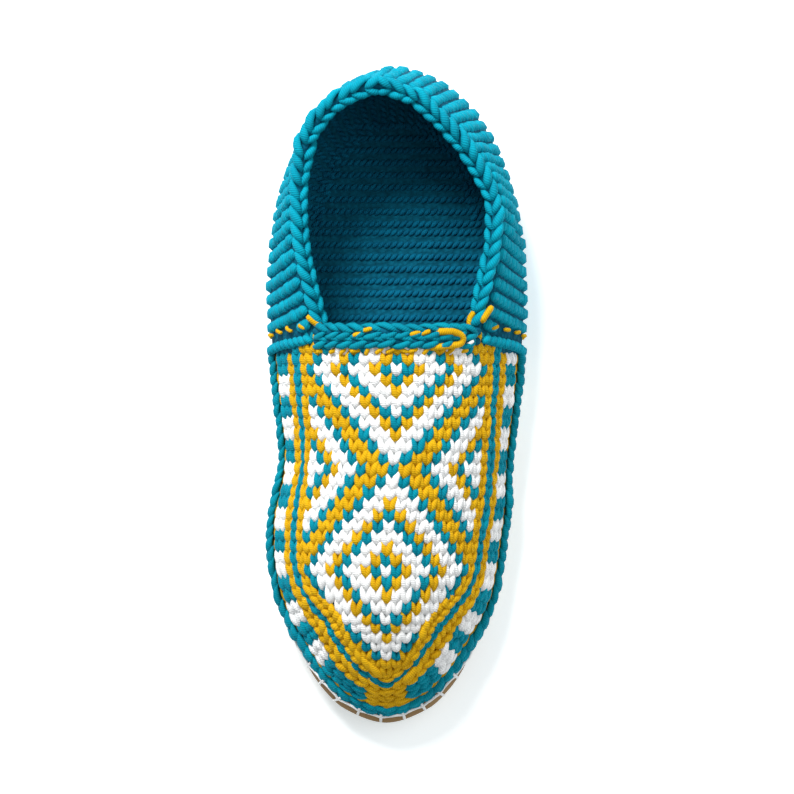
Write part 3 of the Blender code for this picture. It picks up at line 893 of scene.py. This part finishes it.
def rim_chart(side):
    """Across the collar's edge, -0.5 inside to 0.5 outside, and along it towards the toe."""
    middle, out, rise = rim_frame(side, 90)
    middle = middle + rise * (GAP + 0.6)
    across = np.linspace(-0.62, 0.62, 15)
    points, normals = arch(across + RIM_TURN, out, rise, RIM_WIDE, RIM_HIGH)
    lengths = path_lengths(middle[None])[0]
    rows = (lengths[-1] - lengths[::-1]) / GARTER_PITCH
    return Chart(across, rows, (points + middle)[:, ::-1], normals[:, ::-1])


def make_rim():
    chain, core = Yarn(), Yarn()
    for side in (-1, 1):
        chart = rim_chart(side)
        rows = np.arange(0.3, chart.along[-1] - 0.2, 1.0)
        add_knit(chain, chart, 0 * rows, rows, 0.24, (1.45, 1.6), jitter=1.3)
        middle, _, rise = rim_frame(side, 60)
        core.add((middle + rise * (GAP + 0.8))[None], rise[None], 2.0, sides=8)
    # The brighter wall teal is painted light.
    chain.piece("rim_chain", TEAL_WALL_PAINTED_LIGHT, "edging", "collar_edging")
    # The core takes the ground teal, painted darker as shade under the chain.
    core.piece("rim_core", TEAL_GROUND_PAINTED_SHADE, "edging")


def crown_line(y, x):
    """Points and normals of the crown, by y and x. It is level behind THROAT."""
    ahead_y = min(y, THROAT)
    distance, levels = distance_at(ahead_y), np.linspace(1.0, 2.0, 60)
    level = np.interp(np.abs(x), skin(1, distance, levels)[::-1, 0], levels[::-1])
    side = np.where(x < 0, -1.0, 1.0)
    return skin(side, distance, level) + (0.0, y - ahead_y, 0.0), normal(side, distance, level)


def throat_chart(y, half_wide, high):
    """A chain across the foot: across is towards the heel, along is from left to right."""
    place, out = crown_line(y, np.linspace(-THROAT_HALF, THROAT_HALF, 60))
    middle = place + out
    across = np.linspace(-0.62, 0.62, 13)
    points, normals = arch(across, np.array([0.0, 1.0, 0.0]), out, half_wide, high)
    return Chart(across, path_lengths(middle[None])[0] / GARTER_PITCH, points + middle, normals)


def make_throat():
    chain, core = Yarn(), Yarn()
    for y, half_wide, high in ((24.3, 2.1, 1.9), (20.6, 1.9, 1.5)):
        chart = throat_chart(y, half_wide, high)
        rows = np.arange(0.5, chart.along[-1] - 0.3, 1.0)
        add_knit(chain, chart, 0 * rows, rows, 0.24, (1.15, 1.3), jitter=1.5)
        place, out = chart(np.zeros(60), chart.along)
        core.add((place - out * 1.2)[None], out[None], 1.5)
    chain.piece("throat_chain", TEAL, "edging", "throat_edging")
    # The core takes the ground teal, painted darker as shade under the chain.
    core.piece("throat_core", TEAL_GROUND_PAINTED_SHADE, "edging")


# ---- the join
def join_path(side, back=0.0):
    """The cuff's front edge, from under the foot up to the throat's corner."""
    levels = np.linspace(-1.0, 0.98, 60)
    y = 18.6 - 1.4 * np.exp(-((levels / 0.35) ** 2)) + 3.0 * np.clip(levels, 0, 1) ** 2 + back
    return wall_place(side, distance_at(y), levels, 0.2)


def make_join():
    yarn = Yarn()
    for side in (-1, 1):
        add_rope(yarn, *join_path(side), 3.0, 5.6, slant=0.6 * side, radius=1.5, lift=0.5)
    # The brighter wall teal is painted light.
    yarn.piece("join_rope", TEAL_WALL_PAINTED_LIGHT, "edging", "join_ridge")


# ---- gold stitching at the join
DOT_BACK, DOT_PITCH = 5.3, 7.5
# Stitches that show from above, by their distance from the middle line.
DOT_TOP = {-1: (34.7, 39.6, 43.4, 46.6), 1: (35.8, 40.4, 44.4, 46.9)}
TO_RIGHT, UP = np.array([1.0, 0.0, 0.0]), np.array([0.0, 0.0, 1.0])
# Whip stitches over the throat's chain, and the thick loop that ends them: x, y and height.
THROAT_WHIPS = ((-13.0, 23.2), (-9.7, 25.4), (6.2, 23.4), (9.4, 23.6))
THROAT_LOOP = (
    *((12.5, 24.2, 2.2), (15.5, 24.6, 3.2), (18.8, 24.6, 3.6), (21.9, 22.4, 3.4)),
    *((21.6, 19.9, 2.9), (18.6, 19.0, 2.6), (14.8, 18.5, 2.4), (11.0, 18.0, 1.4)),
)
# Thick stitches over the collar's edge: side, and (x, y) of both ends.
RIM_LOOPS = (
    (-1, (-32.6, 29.4), (-27.8, 25.9)),
    (1, (26.6, 26.3), (28.4, 31.2)),
    (1, (31.2, 27.9), (34.6, 32.9)),
)


def add_dot(yarn, place, out, ahead, length, radius, turn=0.0):
    """One short stitch that comes out of the knitting and goes in again."""
    way = ahead * math.cos(turn) + np.cross(out, ahead) * math.sin(turn)
    steps = np.array([-0.5, -0.36, 0.0, 0.36, 0.5]) * length
    rise = np.array([-1.1, 0.1, 0.45, 0.1, -1.1]) * radius
    add_strand(yarn, place + way * steps[:, None] + out * rise[:, None], out, radius)


def make_dots():
    """The small stitches that fasten the cuff, all round under the foot."""
    gold, white = Yarn(), Yarn()
    for side in (-1, 1):
        path, out = join_path(side, DOT_BACK)
        lengths = path_lengths(path[None])[0]
        widest = np.argmax(np.abs(path[:, 0]))
        under = np.arange(DOT_PITCH / 2, lengths[widest] - 5.0, DOT_PITCH)
        rising = slice(None, widest - 1, -1)
        top = np.interp(DOT_TOP[side], np.abs(path[rising, 0]), lengths[rising])
        for k, (place, up, ahead) in enumerate(zip(*along_path(path, out, [*under, *top]))):
            yarn = white if side > 0 and k == 2 else gold
            turn = 0.45 * side + 0.25 * RANDOM.normal()
            add_dot(yarn, place + up * 0.5, up, ahead, 3.3, 0.75, turn)
    return gold, white


def throat_top(x, y, lift):
    """A place over the throat's chains, and its upward direction."""
    place, out = crown_line(y, x)
    return place + out * lift, out


def rim_top(side, x, y):
    """The place on the collar's chain nearest to x and y in plan, a little above it."""
    chart = rim_chart(side)
    points, normals = chart.points.reshape(-1, 3), chart.normals.reshape(-1, 3)
    nearest = np.argmin(np.hypot(points[:, 0] - x, points[:, 1] - y))
    return points[nearest] + normals[nearest] * 0.9


def make_gold():
    gold, white = make_dots()
    for x in np.arange(-27.0, 25.0, 4.15):
        place, out = throat_top(x + RANDOM.normal(0.0, 0.5), 17.0, 1.3)
        add_dot(gold, place, out, TO_RIGHT, 3.4, 0.8, 0.5 + 0.3 * RANDOM.normal())
    for x, y in THROAT_WHIPS:
        add_dot(gold, *throat_top(x, y, 2.7), TO_RIGHT, 4.2, 0.85, 0.3)
    add_strand(gold, [throat_top(*spot)[0] for spot in THROAT_LOOP], UP, 1.3, taper=1.6)
    for side, *ends in RIM_LOOPS:
        edge = [rim_top(side, *end) for end in ends]
        middle = (edge[0] + edge[1]) / 2 + UP
        lows = [np.array([*end, top[2] - 1.4]) for end, top in zip(ends, edge)]
        tops = [np.append(np.array(end) * 0.8 + middle[:2] * 0.2, middle[2] - 0.3) for end in ends]
        add_strand(gold, [lows[0], tops[0], middle, tops[1], lows[1]], UP, 1.15)
    add_dot(white, *throat_top(24.8, 19.8, 2.4), unit(np.array([1.0, 0.6, 0.0])), 4.0, 0.8)
    gold.piece("gold_sewing", GOLD, "edging")
    white.piece("white_sewing", WHITE, "edging")


# ---- suede patches
SUEDE_FACE, SUEDE_ROUNDING = GAP + SUEDE - 0.35, 0.25
# How far the thread keeps below the knitting's overhanging edge beside the toe.
UNDER_EDGE = 2.0


def patch_places(end_y, edge_of):
    """Sides, distances and levels of a patch's ribs, all round from its straight end."""
    even = np.linspace(distance_at(end_y), 0.0 if end_y < 0 else OUTLINE_LENGTH, 60)
    step = even[1] - even[0]
    fine = even[0] + np.sign(step) * np.array([0.0, 0.3, 0.9, 1.8, 3.0, 4.6, 6.4])
    distances = [*fine, *even[np.abs(even - even[0]) > 7.5 + 0.3 * abs(step)]]
    ribs = []
    for side, distance in [(1, d) for d in distances] + [(-1, d) for d in distances[-2::-1]]:
        edge, gap = edge_of(distance), abs(y_at(distance) - end_y)
        if gap < PATCH_CORNER:
            inset = PATCH_CORNER - math.sqrt(PATCH_CORNER**2 - (PATCH_CORNER - gap) ** 2)
            arcs = rib_arcs(side, distance)
            edge = np.interp(np.interp(edge, ARC_LEVELS, arcs) - inset, arcs, ARC_LEVELS)
        ribs.append((side, distance, edge))
    side, distance, edge = np.array(ribs).T[..., None]
    return side, distance, (edge + 1.0) * np.linspace(0.0, 1.0, 22) - 1.0


def make_patch(name, end_y, edge_of, node_name):
    """Suede with rounded edges. Returns its outer edge, the directions there and a BVH tree."""
    places = patch_places(end_y, edge_of)
    layers = []
    for lift in (GAP, GAP + 0.3, SUEDE_FACE - SUEDE_ROUNDING, SUEDE_FACE):
        layer, outs = wall_place(*places, lift)
        if lift in (GAP, SUEDE_FACE):
            layer[:, -1] += unit(layer[:, -2] - layer[:, -1]) * SUEDE_ROUNDING
        layers.append(layer.reshape(-1, 3))
    index = np.arange(len(layers[0])).reshape(outs.shape[:2])
    loop = np.concatenate([index[:, -1], index[-1, -2:0:-1], index[0, :-1]])
    points = np.concatenate([layers[3], layers[0], layers[1][loop], layers[2][loop]])
    outer = grid_faces(index)
    faces = [np.stack([outer, outer[:, [0, 3, 2, 1]] + index.size], axis=1).reshape(-1, 4)]
    between = 2 * index.size + np.arange(len(loop))
    rims = [loop + index.size, between, between + len(loop), loop]
    for low, high in zip(rims, rims[1:]):
        faces.append(np.stack([low, np.roll(low, -1), np.roll(high, -1), high], -1))
    faces = np.concatenate(faces)
    if end_y > 0:
        faces = faces[:, ::-1]
    add_mesh(name, points, faces, [SUEDE_LOOK], [node_name])
    tree = BVHTree.FromPolygons(points.tolist(), faces.tolist())
    return layers[3][loop], outs.reshape(-1, 3)[loop], tree


def add_blanket(thread, edge, outs, tree):
    """Blanket stitch: a thread along the edge and ticks over the suede."""
    keep = np.append(True, np.linalg.norm(np.diff(edge, axis=0), axis=1) > 0.05)
    edge, outs = (np.concatenate([values[keep], values[:1]]) for values in (edge, outs))
    total = path_lengths(edge[None])[0, -1]
    count = round(total / BLANKET_PITCH)
    places = (np.arange(count) + 0.5) * total / count + RANDOM.normal(0.0, 0.35, count)
    fine = np.linspace(0.0, total, count * 8)
    line, line_out, line_ahead = along_path(edge, outs, fine)
    inward = np.cross(line_out, line_ahead)
    turned = np.sign(np.sum(inward * (edge.mean(axis=0) - line)))
    nearest = np.min(np.abs(fine[:, None] - places[None]), axis=1)
    bow = 0.75 - 0.75 * np.exp(-((nearest / 1.5) ** 2))
    tip = blend(-99.0, -107.0, line[:, 1])
    bow -= UNDER_EDGE * blend(-70.0, -82.0, line[:, 1]) * (1.0 - 0.55 * tip)
    path = line - turned * inward * bow[:, None] + line_out * 0.35
    thread.add(path[None], line_out[None], THREAD_RADIUS, 0.9)
    for spot, up, ahead in zip(*along_path(edge, outs, places)):
        way = unit(turned * np.cross(up, ahead) + ahead * 0.16 * RANDOM.normal())
        length = TICK + RANDOM.normal(0.0, 0.3)
        steps = (-0.9, -0.5, 0.3, length * 0.35, length * 0.7, length - 0.4, length)
        points = []
        for step, rise in zip(steps, (-0.9, 0.3, 0.45, 0.4, 0.4, 0.25, -0.6)):
            target, up_here = spot + way * step, up
            if step > 0.0:
                target, up_here = map(np.array, tree.find_nearest(target + up * 0.6)[:2])
            points.append(target + up_here * rise)
        add_strand(thread, points, up, THREAD_RADIUS, steps=4, taper=0.5, flatten=0.6)


def make_patches():
    thread = Yarn()
    for name, end_y, edge_of, node_name in (
        ("forefoot_suede", FOREFOOT_PATCH_BACK, forefoot_edge, "forefoot_patch"),
        ("heel_suede", HEEL_PATCH_FRONT, heel_edge, "heel_patch"),
    ):
        add_blanket(thread, *make_patch(name, end_y, edge_of, node_name))
    thread.piece("blanket_thread", WHITE, "suede")


make_body()
make_ground()
make_tube()
make_garter()
make_inside()
make_rim()
make_throat()
make_join()
make_gold()
make_patches()


# ---- stage, light and camera
def make_stage():
    look = Look(
        "floor",
        Base_Color=(0.9, 0.9, 0.9, 1.0),
        Emission_Color=(0.86, 0.97, 1.0, 1.0),
        Emission_Strength=0.42,
        Roughness=0.7,
        Specular_IOR_Level=0.2,
    )
    bpy.ops.mesh.primitive_plane_add(size=6.0, location=(0.0, 0.0, -0.0002))
    floor = bpy.context.object
    floor.name = "floor"
    floor.data.materials.append(look.material)


def add_light(name, place, size, power):
    data = bpy.data.lights.new(name, "AREA")
    data.shape = "DISK"
    data.size = size
    data.energy = power
    lamp = add_object(name, data, place)
    lamp.rotation_euler = (-Vector(place)).to_track_quat("-Z", "Y").to_euler()


def make_lights():
    world = bpy.data.worlds.new("studio")
    world.use_nodes = True
    background = world.node_tree.nodes["Background"].inputs
    background["Color"].default_value = (0.95, 0.98, 1.0, 1.0)
    background["Strength"].default_value = 0.42
    bpy.context.scene.world = world
    add_light("key", (-0.4, 0.9, 0.95), 0.5, 23.5)
    add_light("fill", (0.7, 0.3, 1.1), 1.2, 5.0)
    bpy.context.scene.view_settings.view_transform = "Standard"


def make_camera():
    """Straight down, framed as in the photo."""
    data = bpy.data.cameras.new("camera")
    data.lens = 196.0
    data.sensor_width = 36.0
    bpy.context.scene.camera = add_object("camera", data, (0.0, 0.0, 1.63))


make_stage()
make_lights()
make_camera()
